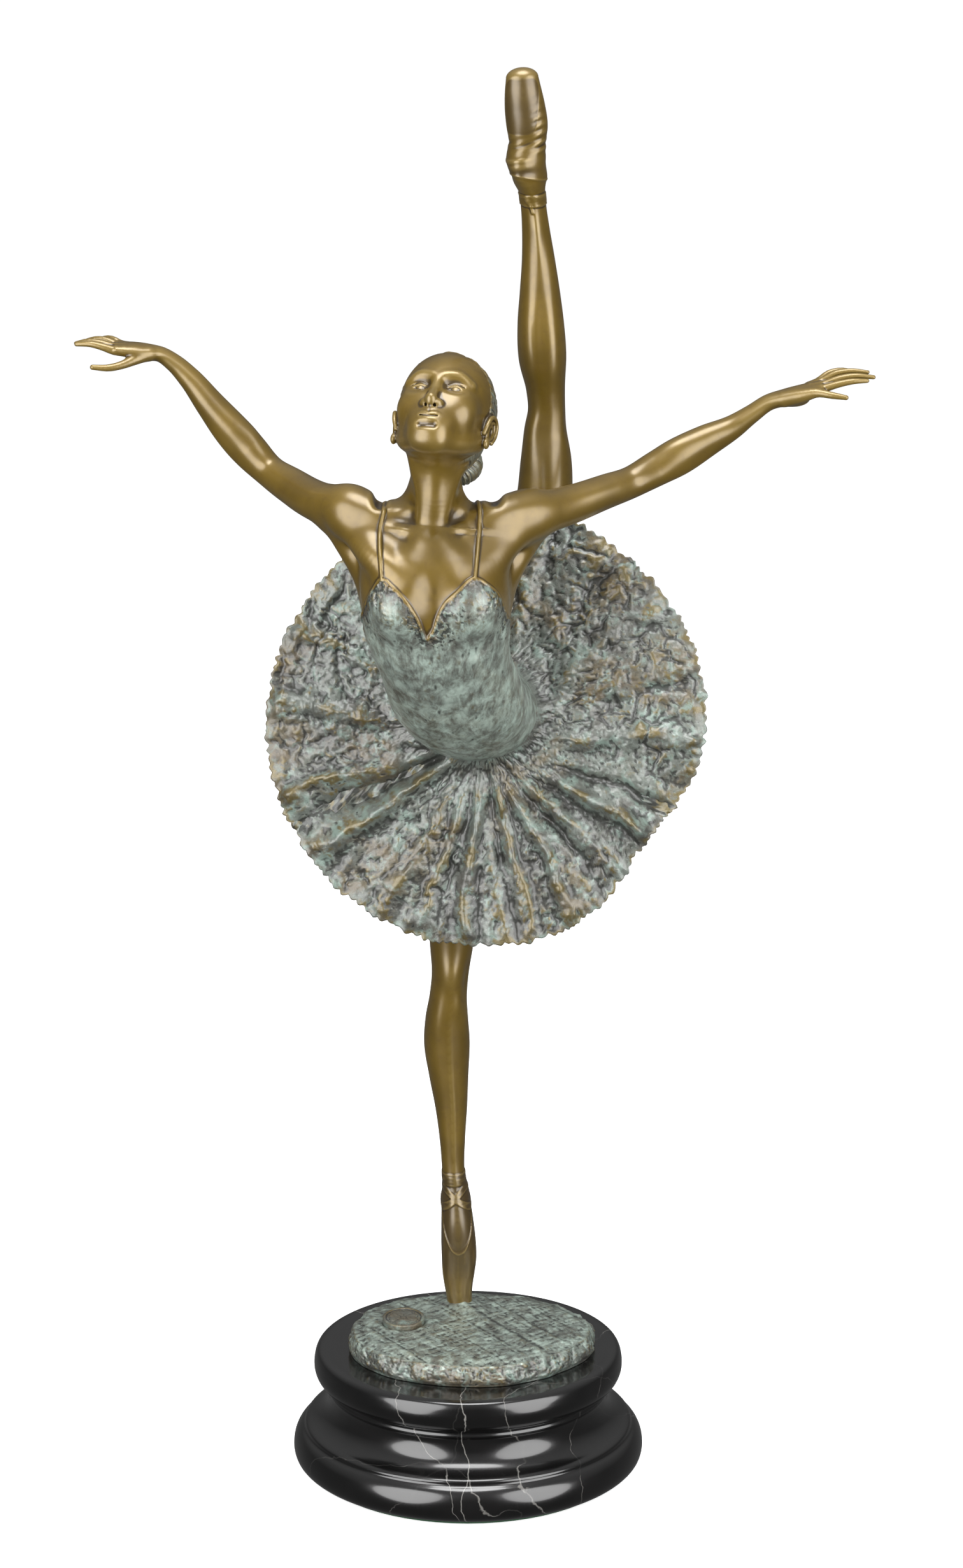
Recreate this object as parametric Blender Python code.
"""Bronze statuette of a dancer in a tutu, balanced on one pointe on a bronze plinth and a turned marble base.

The figure is built as a foundry builds it: separate castings with flat seams, welded end to end, standing on a
steel dowel. Two bolts hold the bronze plinth to the marble. Blender works in metres; every number here is in
millimetres and is turned into metres when a mesh is made.

X is the viewer's right, -Y faces the viewer and +Z is up. The origin is the middle of the felt's underside.
"""

import math

import bmesh
import bpy
import numpy as np
from mathutils import Matrix, Vector

MM = 0.001
GAP = 0.3  # seam and seat clearance between castings

# Base
FELT_RADIUS = 90.0
FELT_THICKNESS = 2.0
MARBLE_BOTTOM = FELT_THICKNESS + GAP
MARBLE_TOP = 71.0
BASE_SEGMENTS = 60

# Plinth
PLINTH_BOTTOM = MARBLE_TOP + GAP
PLINTH_TOP = 85.0
PLINTH_WALL = 4.0
PLINTH_CENTRE_Y = -5.0
PLINTH_HALF_WIDTH = 70.0
PLINTH_HALF_DEPTH = 58.0
PLINTH_SEGMENTS = 40

# Fixings
BOLT_X = (-38.0, 38.0)
BOLT_Y = -6.0
BOLT_RADIUS = 2.9
BOLT_HOLE_RADIUS = 3.5
BOLT_TAPPED_RADIUS = 3.2
BOLT_TOP = 80.0
HEAD_RADIUS = 5.6
HEAD_HEIGHT = 4.0
WASHER_RADIUS = 8.0
WASHER_THICKNESS = 1.4
RECESS_RADIUS = 11.0
RECESS_DEPTH = 14.0
BOSS_RADIUS = 8.0

# Standing toe and its dowel
TOE = (-5.0, 28.0)
DOWEL_RADIUS = 2.5
DOWEL_HOLE_RADIUS = 2.8
DOWEL_BOTTOM = 72.5
DOWEL_TOP = 112.0

# Medallion
MEDALLION = (-37.0, 1.5)
MEDALLION_RADIUS = 12.0
MEDALLION_THICKNESS = 2.4
MEDALLION_SEAT_Z = 83.0

# Tutu
TUTU_CENTRE = Vector((10.0, -5.0, 434.0))
TUTU_NORMAL = Vector((-0.08, -0.975, 0.21)).normalized()
TUTU_WALL = 4.5
TUTU_SEGMENTS = 72
TUTU_RINGS = 5
HIP_HOLE = (36.4, 30.0)  # half width and half height of the hips where the tutu is welded round them

# Casting wall and loft density
TORSO_WALL = 4.0
SIDES = 16

# Each row is x, y, z of the centre line, then the half widths across and along the depth.
TORSO = [
    (15, 60, 449, 12, 10),
    (14, 54, 449, 25, 21),
    (12, 42, 448.5, 33, 28),
    (9.5, 22, 447.5, 35.5, 29.5),
    (7, 4, 447.5, 35, 28.8),
    (4.5, -8, 449, 34.5, 28),
    (-0.5, -22, 454.5, 35, 27.5),
    (-6, -40, 466.5, 36, 26.5),
    (-11.5, -57, 486, 35.2, 25.2),
    (-15.5, -67, 507, 37, 25.2),
    (-17.5, -71, 527, 37.6, 24.5),
    (-19, -68.5, 546, 36.5, 21),
    (-19, -64, 559, 33, 17),
    (-18.5, -62, 568, 25, 14.5),
    (-17.6, -63, 577, 15.5, 13.4),
    (-17, -65.5, 588, 13.4, 13.2),
    (-16.2, -69, 600, 13.6, 13.8),
    (-14.5, -74, 612, 14, 14),
]
STANDING_LEG = [
    (-5, 28, 86.5, 6.0, 5.6),
    (-5.4, 28, 94, 7.0, 6.6),
    (-5.6, 28, 104, 8.3, 7.2),
    (-5.2, 27.5, 115, 9.6, 8.0),
    (-5.6, 27, 124, 9.6, 9.0),
    (-6.2, 28, 136, 9.0, 10.5),
    (-7.2, 31, 147, 8.0, 12.0),
    (-7.4, 31.5, 155, 7.0, 10.5),
    (-8.6, 30, 167, 6.4, 7.6),
    (-9.0, 30, 185, 7.3, 8.2),
    (-9.6, 31, 204, 9.1, 10.5),
    (-11.0, 32, 224, 11.3, 13.0),
    (-12.0, 31.5, 243, 13.1, 14.2),
    (-12.0, 29, 259, 12.1, 13.4),
    (-11.4, 27, 272, 10.9, 12.6),
    (-10.2, 26, 286, 10.8, 13.0),
    (-9.6, 26, 302, 12.3, 14.0),
    (-9.0, 27, 340, 15.6, 17.0),
    (-8.5, 28, 380, 18.8, 20.0),
    (-8.0, 30, 412, 20.5, 22.0),
    (-6.0, 32, 440, 21.0, 22.0),
]
RAISED_LEG = [
    (27, 38, 455, 21, 22),
    (31, 42, 490, 20, 21),
    (37, 45, 525, 18, 19),
    (43, 47, 560, 15.4, 16.5),
    (43.5, 48, 582, 14.0, 14.6),
    (43.4, 50, 603, 11.4, 12.4),
    (43.8, 50, 614, 10.2, 12.0),
    (42.6, 49, 625, 10.9, 12.6),
    (40.8, 46, 642, 13.4, 14.2),
    (40.4, 44, 660, 12.6, 13.4),
    (39.6, 44, 681, 10.2, 11.0),
    (38.0, 43, 702, 8.0, 8.8),
    (36.2, 41, 719, 7.2, 8.0),
    (35.0, 38, 731, 7.6, 9.0),
    (33.0, 34, 742, 9.6, 11.5),
    (31.8, 32, 749, 10.4, 11.5),
    (32.5, 30, 758, 9.6, 10.0),
    (32.3, 28, 768, 10.8, 8.8),
    (31.0, 26, 779, 10.9, 8.2),
    (29.8, 24, 789, 9.0, 7.0),
    (29.4, 23, 796.5, 7.0, 5.4),
]
RIGHT_ARM = [  # the dancer's right arm, on the viewer's left
    (-36, -64, 560, 14, 13),
    (-46, -62, 564, 15, 14),
    (-59, -56, 568.5, 13.2, 13),
    (-79, -36, 571, 11.3, 11.5),
    (-97, -14, 577, 10.0, 10),
    (-109, -2, 583, 8.7, 9),
    (-120, 1, 594, 10.0, 9.4),
    (-129, 2, 604, 9.9, 9.2),
    (-140, 3, 618, 8.1, 8),
    (-151, 4, 632, 6.4, 6.6),
    (-160.5, 4, 640.5, 5.2, 6),
    (-167, 3, 644.8, 4.6, 6),
    (-177, 1, 647, 4.8, 8),
    (-187, 0, 648, 4.4, 10),
    (-194, 0, 649, 3.2, 9.5),
]
LEFT_ARM = [  # the dancer's left arm, on the viewer's right
    (2, -64, 559, 14, 13),
    (10, -62, 563, 15, 14),
    (22.7, -57, 567, 13.4, 13),
    (40, -46, 568, 11.6, 12),
    (57, -33, 570, 10.6, 11),
    (76, -20, 574.4, 9.3, 10),
    (89, -11, 577.5, 8.3, 9),
    (103, -7, 584.5, 9.7, 9.4),
    (114.5, -5, 590.5, 10.3, 9.4),
    (129.5, -2, 598.5, 8.8, 8.4),
    (144.5, 0, 606, 6.5, 6.8),
    (154.5, 0, 613, 5.2, 6),
    (165, -1, 619.5, 4.7, 6),
    (178, -1, 623, 5.0, 8),
    (190, 0, 627, 4.6, 10),
    (197, 0, 629.5, 3.2, 9.5),
]
WAIST_SEAM_Y = -8.0  # the torso meets the hips just in front of the tutu
NECK_SEAM_Z = 579.0
ARM_SEAM_X = {"right": -66.0, "left": 38.0}
STANDING_SEAM_Z = 398.0
RAISED_SEAM_Z = 504.0

# Each finger is a root, a knuckle and a tip, with its radius at the root.
RIGHT_FINGERS = [
    ((-191, -5, 648), (-200, -6, 650.5), (-212, -7, 650.5), 2.3),
    ((-191, -1, 649), (-202, -1.5, 652.5), (-211, -2, 651.5), 2.2),
    ((-191, 3, 649), (-200, 4, 653), (-207, 4.5, 653.5), 2.1),
    ((-190, 7, 648), (-197, 8.5, 652), (-202, 9.5, 653.5), 1.9),
    ((-178, -6, 645), (-189, -9, 639.5), (-202, -11, 638.5), 2.5),
]
LEFT_FINGERS = [
    ((194, -5, 629), (205, -6, 633), (217, -7, 631), 2.3),
    ((194, -1, 630), (207, -1, 636), (221, -1, 633), 2.2),
    ((194, 3, 630), (206, 3.5, 637), (219, 4, 635), 2.1),
    ((193, 7, 628), (203, 8, 634), (213, 9, 633), 1.9),
    ((180, -6, 621), (191, -10, 620), (204, -13, 621.5), 2.4),
]

# Head: centre of the skull, then the way the face looks and the way its crown points.
HEAD_CENTRE = Vector((-12.0, -77.0, 626.5))
FACE = Vector((-0.14, -0.66, 0.74)).normalized()
CROWN = Vector((0.17, 0.72, 0.67))
SKULL_HALF = (25.5, 32.0, 28.0)  # across, front to back, up

COLOURS = {  # base colour, roughness, metallic
    "bronze_brown": ((0.235, 0.155, 0.055), 0.34, 1.0),
    "bronze_verdigris": ((0.20, 0.27, 0.24), 0.62, 0.45),
    "marble_black": ((0.012, 0.012, 0.013), 0.10, 0.0),
    "felt_green": ((0.03, 0.08, 0.04), 0.95, 0.0),
    "steel": ((0.45, 0.45, 0.46), 0.35, 1.0),
}


# ---------------------------------------------------------------- helpers


def material(name):
    """The named Principled material, made once."""
    made = bpy.data.materials.get(name)
    if made:
        return made
    colour, roughness, metallic = COLOURS[name]
    made = bpy.data.materials.new(name)
    made.use_nodes = True
    shader = made.node_tree.nodes["Principled BSDF"]
    shader.inputs["Base Color"].default_value = (*colour, 1.0)
    shader.inputs["Roughness"].default_value = roughness
    shader.inputs["Metallic"].default_value = metallic
    return made


def add_object(name, bm, finish=None, smooth_angle=40.0):
    """A mesh object from a bmesh in millimetres. Without a finish it is a helper that isn't rendered."""
    bmesh.ops.recalc_face_normals(bm, faces=bm.faces[:])
    bmesh.ops.transform(bm, matrix=Matrix.Scale(MM, 4), verts=bm.verts[:])
    mesh = bpy.data.meshes.new(name)
    bm.to_mesh(mesh)
    bm.free()
    mesh.shade_smooth()
    mesh.set_sharp_from_angle(angle=math.radians(smooth_angle))
    made = bpy.data.objects.new(name, mesh)
    bpy.context.scene.collection.objects.link(made)
    if finish:
        mesh.materials.append(material(finish))
    else:
        made.hide_render = True
        made.display_type = "WIRE"
    return made


def combine(target, helper, operation):
    """Adds an exact Boolean that joins helper to target or cuts it from it."""
    modifier = target.modifiers.new(f"{operation.lower()}_{helper.name}", "BOOLEAN")
    modifier.operation = operation
    modifier.solver = "EXACT"
    modifier.object = helper


def centre_line(rows):
    """Distance along the centre line at each row."""
    points = np.array(rows, float)[:, :3]
    steps = np.linalg.norm(np.diff(points, axis=0), axis=1)
    return np.concatenate([[0.0], np.cumsum(steps)])


def sample(rows, at):
    """The rows read at distances along their centre line, on a smooth cubic through them."""
    values = np.array(rows, float)
    along = centre_line(rows)
    slopes = np.gradient(values, along, axis=0)
    at = np.atleast_1d(at)
    i = np.clip(np.searchsorted(along, at) - 1, 0, len(along) - 2)
    span = (along[i + 1] - along[i])[:, None]
    t = ((at - along[i])[:, None]) / span
    return (
        (2 * t**3 - 3 * t**2 + 1) * values[i]
        + (t**3 - 2 * t**2 + t) * span * slopes[i]
        + (3 * t**2 - 2 * t**3) * values[i + 1]
        + (t**3 - t**2) * span * slopes[i + 1]
    )


def where(rows, axis, value):
    """Distance along the centre line at which it crosses the plane axis = value."""
    along = np.linspace(0, centre_line(rows)[-1], 2000)
    return float(along[np.argmin(np.abs(sample(rows, along)[:, axis] - value))])


def loft(bm, rows, across, start, end, step, sides=SIDES, inset=0.0):
    """A closed tube of elliptical rings round the centre line of rows, from start to end along it."""
    count = max(2, int(round((end - start) / step)) + 1)
    along = np.linspace(start, end, count)
    table = sample(rows, along)
    reach = 0.5
    ahead = sample(rows, np.minimum(along + reach, centre_line(rows)[-1]))
    behind = sample(rows, np.maximum(along - reach, 0))
    rings = []
    for row, a, b in zip(table, ahead, behind):
        tangent = Vector(a[:3] - b[:3]).normalized()
        wide = (across - across.dot(tangent) * tangent).normalized()
        deep = tangent.cross(wide)
        centre = Vector(row[:3])
        rings.append(
            [
                bm.verts.new(
                    centre
                    + wide * (row[3] - inset) * math.cos(angle)
                    + deep * (row[4] - inset) * math.sin(angle)
                )
                for angle in (2 * math.pi * k / sides for k in range(sides))
            ]
        )
    for lower, upper in zip(rings, rings[1:]):
        for k in range(sides):
            j = (k + 1) % sides
            bm.faces.new((lower[k], lower[j], upper[j], upper[k]))
    bm.faces.new(rings[0])
    bm.faces.new(rings[-1][::-1])


def loft_object(name, rows, across, start, end, step, finish=None, **options):
    bm = bmesh.new()
    loft(bm, rows, across, start, end, step, **options)
    return add_object(name, bm, finish)


def cylinder(name, centre, radius, bottom, top, finish=None, sides=24):
    """An upright cylinder between two heights."""
    bm = bmesh.new()
    bmesh.ops.create_cone(
        bm,
        cap_ends=True,
        segments=sides,
        radius1=radius,
        radius2=radius,
        depth=top - bottom,
        matrix=Matrix.Translation((centre[0], centre[1], (top + bottom) / 2)),
    )
    return add_object(name, bm, finish)


def ball(name, centre, half, axes, segments=16, rings=10):
    """An ellipsoid helper with half sizes along three axes."""
    bm = bmesh.new()
    turn = Matrix(axes).transposed().to_4x4()
    bmesh.ops.create_uvsphere(bm, u_segments=segments, v_segments=rings, radius=1.0)
    place = Matrix.Translation(centre) @ turn @ Matrix.Diagonal((*half, 1.0))
    bmesh.ops.transform(bm, matrix=place, verts=bm.verts[:])
    return add_object(name, bm)


# ---------------------------------------------------------------- base


def marble_profile():
    """Radius and height down the outside: flat top, upper roll, waist, hollow curve, lower roll and foot."""
    roll = [
        (81.5 + 6.3 * math.cos(a), 57.5 + 13.0 * math.sin(a))
        for a in (math.radians(d) for d in (78, 55, 30, 5, -20, -45, -70))
    ]
    hollow = [
        (79.0 + 15.0 * t**1.7, 43.0 - 18.0 * t**0.8) for t in (0.0, 0.25, 0.5, 0.75, 1.0)
    ]
    lower = [
        (88.5 + 12.0 * math.cos(a), 12.5 + 9.5 * math.sin(a))
        for a in (math.radians(d) for d in (62, 40, 20, 0, -22, -45, -70))
    ]
    return [(0.0, MARBLE_TOP), (82.5, MARBLE_TOP)] + roll + hollow + lower + [
        (FELT_RADIUS + 2.0, MARBLE_BOTTOM),
        (0.0, MARBLE_BOTTOM),
    ]


def make_marble():
    bm = bmesh.new()
    verts = [bm.verts.new((r, 0.0, z)) for r, z in marble_profile()]
    edges = [bm.edges.new(pair) for pair in zip(verts, verts[1:])]
    bmesh.ops.spin(
        bm,
        geom=verts + edges,
        axis=(0, 0, 1),
        cent=(0, 0, 0),
        angle=2 * math.pi,
        steps=BASE_SEGMENTS,
        use_merge=True,
    )
    bmesh.ops.remove_doubles(bm, verts=bm.verts[:], dist=0.001)
    marble = add_object("marble_base", bm, "marble_black", smooth_angle=30)
    for side, x in zip(("left", "right"), BOLT_X):
        centre = (x, BOLT_Y)
        hole = cylinder(f"hole_{side}", centre, BOLT_HOLE_RADIUS, -5, MARBLE_TOP + 5)
        recess = cylinder(
            f"recess_{side}", centre, RECESS_RADIUS, -5, MARBLE_BOTTOM + RECESS_DEPTH
        )
        combine(marble, hole, "DIFFERENCE")
        combine(marble, recess, "DIFFERENCE")


def make_fixings():
    """Hex bolts from below, each with a washer at the top of its recess."""
    roof = MARBLE_BOTTOM + RECESS_DEPTH
    washer_top = roof - GAP
    washer_bottom = washer_top - WASHER_THICKNESS
    head_top = washer_bottom - GAP
    for side, x in zip(("left", "right"), BOLT_X):
        centre = (x, BOLT_Y)
        washer = cylinder(
            f"washer_{side}", centre, WASHER_RADIUS, washer_bottom, washer_top, "steel"
        )
        eye = cylinder(f"washer_eye_{side}", centre, BOLT_HOLE_RADIUS, 0, 30)
        combine(washer, eye, "DIFFERENCE")
        bolt = cylinder(
            f"fixing_bolt_{side}",
            centre,
            HEAD_RADIUS,
            head_top - HEAD_HEIGHT,
            head_top,
            "steel",
            sides=6,
        )
        shank = cylinder(f"shank_{side}", centre, BOLT_RADIUS, head_top - 1, BOLT_TOP)
        combine(bolt, shank, "UNION")


def plinth_outline(angle, shrink=0.0):
    """Half an irregular oval, like clay pressed out by hand."""
    wobble = 1 + 0.018 * math.sin(3 * angle + 0.6) + 0.012 * math.sin(5 * angle + 2.0)
    x = (PLINTH_HALF_WIDTH - shrink) * wobble * math.cos(angle)
    y = PLINTH_CENTRE_Y + (PLINTH_HALF_DEPTH - shrink) * wobble * math.sin(angle)
    return x, y


def plinth_body(name, shrink, top, bottom, finish=None):
    """A low mound with a rounded shoulder."""
    shoulder = [(0.0, 0.0), (-0.6, 0.35), (0.8, 0.66), (5.0, 0.88), (16.0, 1.0)]
    bm = bmesh.new()
    rings = []
    for inward, rise in shoulder:
        ring = []
        for k in range(PLINTH_SEGMENTS):
            x, y = plinth_outline(2 * math.pi * k / PLINTH_SEGMENTS, shrink + inward)
            ring.append(bm.verts.new((x, y, bottom + (top - bottom) * rise)))
        rings.append(ring)
    for lower, upper in zip(rings, rings[1:]):
        for k in range(PLINTH_SEGMENTS):
            j = (k + 1) % PLINTH_SEGMENTS
            bm.faces.new((lower[k], lower[j], upper[j], upper[k]))
    bm.faces.new(rings[0])
    bm.faces.new(rings[-1])
    return add_object(name, bm, finish)


def make_plinth():
    plinth = plinth_body(
        "plinth_casting", 0.0, PLINTH_TOP, PLINTH_BOTTOM, "bronze_verdigris"
    )
    core = plinth_body(
        "plinth_core", PLINTH_WALL, PLINTH_TOP - PLINTH_WALL, PLINTH_BOTTOM - 3
    )
    combine(plinth, core, "DIFFERENCE")
    boss_bottom = PLINTH_BOTTOM
    for name, centre, bore in (
        ("left", (BOLT_X[0], BOLT_Y), BOLT_TAPPED_RADIUS),
        ("right", (BOLT_X[1], BOLT_Y), BOLT_TAPPED_RADIUS),
        ("toe", TOE, DOWEL_HOLE_RADIUS),
    ):
        boss = cylinder(
            f"boss_{name}", centre, BOSS_RADIUS, boss_bottom, PLINTH_TOP - 2
        )
        combine(plinth, boss, "UNION")
        top = PLINTH_TOP + 5 if name == "toe" else BOLT_TOP + 1
        drilling = cylinder(f"bore_{name}", centre, bore, boss_bottom - 5, top)
        combine(plinth, drilling, "DIFFERENCE")
    seat = cylinder(
        "medallion_seat",
        MEDALLION,
        MEDALLION_RADIUS + 0.5,
        MEDALLION_SEAT_Z,
        PLINTH_TOP + 5,
        sides=40,
    )
    combine(plinth, seat, "DIFFERENCE")


def make_medallion():
    bottom = MEDALLION_SEAT_Z + GAP
    medallion = cylinder(
        "foundry_medallion",
        MEDALLION,
        MEDALLION_RADIUS,
        bottom,
        bottom + MEDALLION_THICKNESS,
        "bronze_verdigris",
        sides=40,
    )
    dish = cylinder(
        "medallion_dish",
        MEDALLION,
        MEDALLION_RADIUS - 1.4,
        bottom + MEDALLION_THICKNESS - 0.5,
        bottom + 10,
        sides=40,
    )
    combine(medallion, dish, "DIFFERENCE")


# ---------------------------------------------------------------- figure


def tutu_axes():
    """Right and up in the tutu's plane."""
    right = Vector((0, 0, 1)).cross(TUTU_NORMAL).normalized()
    if right.x < 0:
        right.negate()
    up = TUTU_NORMAL.cross(right)
    if up.z < 0:
        up.negate()
    return right, up


def tutu_radius(angle):
    """The rim: fuller above, and pulled in at the lower right."""
    dent = (math.degrees(angle) + 33 + 180) % 360 - 180
    return 122.5 + 5 * math.sin(angle) - 12 * math.exp(-((dent / 22) ** 2))


def tutu_lift(share, angle):
    """How far the skirt stands in front of its plane at a share of its radius: a shallow dome with soft pleats."""
    dome = 5.0 * (1 - share**1.5) - 2.0
    pleats = 1.6 * math.sin(11 * angle + 0.7) + 2.6 * math.sin(4 * angle + 2.2)
    return dome + pleats * share**1.6


def make_tutu(hip_point):
    """A pleated disc with a hole for the hips, welded between the hips and the torso."""
    right, up = tutu_axes()
    bm = bmesh.new()
    layers = []
    hole = Vector(hip_point) - TUTU_CENTRE
    hole -= hole.dot(TUTU_NORMAL) * TUTU_NORMAL
    for side in (1, -1):
        rings = []
        for ring in range(TUTU_RINGS + 1):
            share = ring / TUTU_RINGS
            verts = []
            for k in range(TUTU_SEGMENTS):
                angle = 2 * math.pi * k / TUTU_SEGMENTS
                way = right * math.cos(angle) + up * math.sin(angle)
                inner = hole + (
                    right * (HIP_HOLE[0] + GAP) * math.cos(angle)
                    + up * (HIP_HOLE[1] + GAP) * math.sin(angle)
                )
                rim = way * tutu_radius(angle)
                spot = inner.lerp(rim, share)
                spot += TUTU_NORMAL * (tutu_lift(share, angle) * min(1.0, 4 * share))
                spot += TUTU_NORMAL * (side * TUTU_WALL / 2)
                verts.append(bm.verts.new(TUTU_CENTRE + spot))
            rings.append(verts)
        layers.append(rings)
    front, back = layers
    for rings in layers:
        for inner, outer in zip(rings, rings[1:]):
            for k in range(TUTU_SEGMENTS):
                j = (k + 1) % TUTU_SEGMENTS
                bm.faces.new((inner[k], inner[j], outer[j], outer[k]))
    for a, b in ((front[0], back[0]), (front[-1], back[-1])):
        for k in range(TUTU_SEGMENTS):
            j = (k + 1) % TUTU_SEGMENTS
            bm.faces.new((a[k], a[j], b[j], b[k]))
    return add_object("tutu_casting", bm, "bronze_verdigris")


def make_torso():
    """Hips, torso shell and shoulder stubs. Returns where the centre line passes the tutu."""
    across = Vector((1, 0, 0))
    waist = where(TORSO, 1, WAIST_SEAM_Y)
    neck = where(TORSO, 2, NECK_SEAM_Z)
    hips = loft_object("pelvis_casting", TORSO, across, 0, waist, 7, "bronze_verdigris")
    standing_top = centre_line(STANDING_LEG)[-1]
    standing_seam = where(STANDING_LEG, 2, STANDING_SEAM_Z)
    standing_stub = loft_object(
        "standing_stub",
        STANDING_LEG,
        across,
        standing_seam,
        standing_top,
        12,
    )
    raised_seam = where(RAISED_LEG, 2, RAISED_SEAM_Z)
    raised_stub = loft_object("raised_stub", RAISED_LEG, across, 0, raised_seam, 12)
    combine(hips, standing_stub, "UNION")
    combine(hips, raised_stub, "UNION")

    torso = loft_object(
        "torso_casting", TORSO, across, waist + GAP, neck, 7, "bronze_verdigris"
    )
    upright = Vector((0, 0, 1))
    for side, rows in (("right", RIGHT_ARM), ("left", LEFT_ARM)):
        seam = where(rows, 0, ARM_SEAM_X[side])
        stub = loft_object(f"shoulder_{side}", rows, upright, 0, seam, 7)
        combine(torso, stub, "UNION")
    core_end = where(TORSO, 2, 562.0)
    core = loft_object(
        "torso_core", TORSO, across, waist - 4, core_end, 9, inset=TORSO_WALL, sides=12
    )
    combine(torso, core, "DIFFERENCE")
    hip_distance = where(TORSO, 1, TUTU_CENTRE.y)
    return sample(TORSO, hip_distance)[0][:3]


def make_leg_castings():
    across = Vector((1, 0, 0))
    standing_seam = where(STANDING_LEG, 2, STANDING_SEAM_Z)
    leg = loft_object(
        "standing_leg_casting",
        STANDING_LEG,
        across,
        0,
        standing_seam - GAP,
        8,
        "bronze_brown",
    )
    socket = cylinder(
        "toe_socket", TOE, DOWEL_HOLE_RADIUS, DOWEL_BOTTOM, DOWEL_TOP + GAP, sides=16
    )
    combine(leg, socket, "DIFFERENCE")
    cylinder(
        "toe_dowel", TOE, DOWEL_RADIUS, DOWEL_BOTTOM, DOWEL_TOP, "steel", sides=16
    )
    raised_seam = where(RAISED_LEG, 2, RAISED_SEAM_Z)
    loft_object(
        "raised_leg_casting",
        RAISED_LEG,
        across,
        raised_seam + GAP,
        centre_line(RAISED_LEG)[-1],
        8,
        "bronze_brown",
    )


def make_arm(name, rows, side, fingers):
    """An arm from the shoulder seam to the palm, with four fingers and a thumb joined on."""
    upright = Vector((0, 0, 1))
    seam = where(rows, 0, ARM_SEAM_X[side])
    arm = loft_object(
        name,
        rows,
        upright,
        seam + GAP,
        centre_line(rows)[-1],
        8,
        "bronze_brown",
        sides=14,
    )
    for number, (root, knuckle, tip, radius) in enumerate(fingers):
        line = [
            (*root, radius, radius),
            (*knuckle, radius * 0.92, radius * 0.92),
            (*tip, radius * 0.62, radius * 0.62),
        ]
        length = centre_line(line)[-1]
        finger = loft_object(
            f"{side}_finger_{number}", line, upright, 0, length, 5, sides=8
        )
        combine(arm, finger, "UNION")


def make_head():
    """Neck, skull, jaw, nose, ears and the low bun, joined into one casting."""
    across = Vector((1, 0, 0))
    start = where(TORSO, 2, NECK_SEAM_Z) + GAP
    end = centre_line(TORSO)[-1]
    head = loft_object("head_casting", TORSO, across, start, end, 6, "bronze_brown")
    up = (CROWN - CROWN.dot(FACE) * FACE).normalized()
    side = FACE.cross(up)
    axes = (side, FACE, up)

    def spot(sideways, forward, upward):
        return HEAD_CENTRE + side * sideways + FACE * forward + up * upward

    shapes = {
        "skull": (spot(0, -2, 5), SKULL_HALF),
        "face": (spot(0, 10, -12), (20.0, 19.0, 26.0)),
        "jaw": (spot(0, 15, -26), (13.0, 13.0, 11.0)),
        "nose": (spot(0, 28.5, -9), (3.5, 4.5, 7.0)),
        "ear_right": (spot(-25, -3, -8), (2.6, 6.0, 8.5)),
        "ear_left": (spot(25, -3, -8), (2.6, 6.0, 8.5)),
        "bun": (spot(3, -43, 0), (11.0, 9.5, 11.0)),
    }
    for name, (centre, half) in shapes.items():
        combine(head, ball(f"head_{name}", centre, half, axes), "UNION")


def main():
    for old in list(bpy.data.objects):
        bpy.data.objects.remove(old)
    make_marble()
    cylinder(
        "felt_pad", (0, 0), FELT_RADIUS, 0, FELT_THICKNESS, "felt_green", sides=64
    )
    make_fixings()
    make_plinth()
    make_medallion()
    make_leg_castings()
    hip_point = make_torso()
    make_tutu(hip_point)
    make_arm("right_arm_casting", RIGHT_ARM, "right", RIGHT_FINGERS)
    make_arm("left_arm_casting", LEFT_ARM, "left", LEFT_FINGERS)
    make_head()


main()
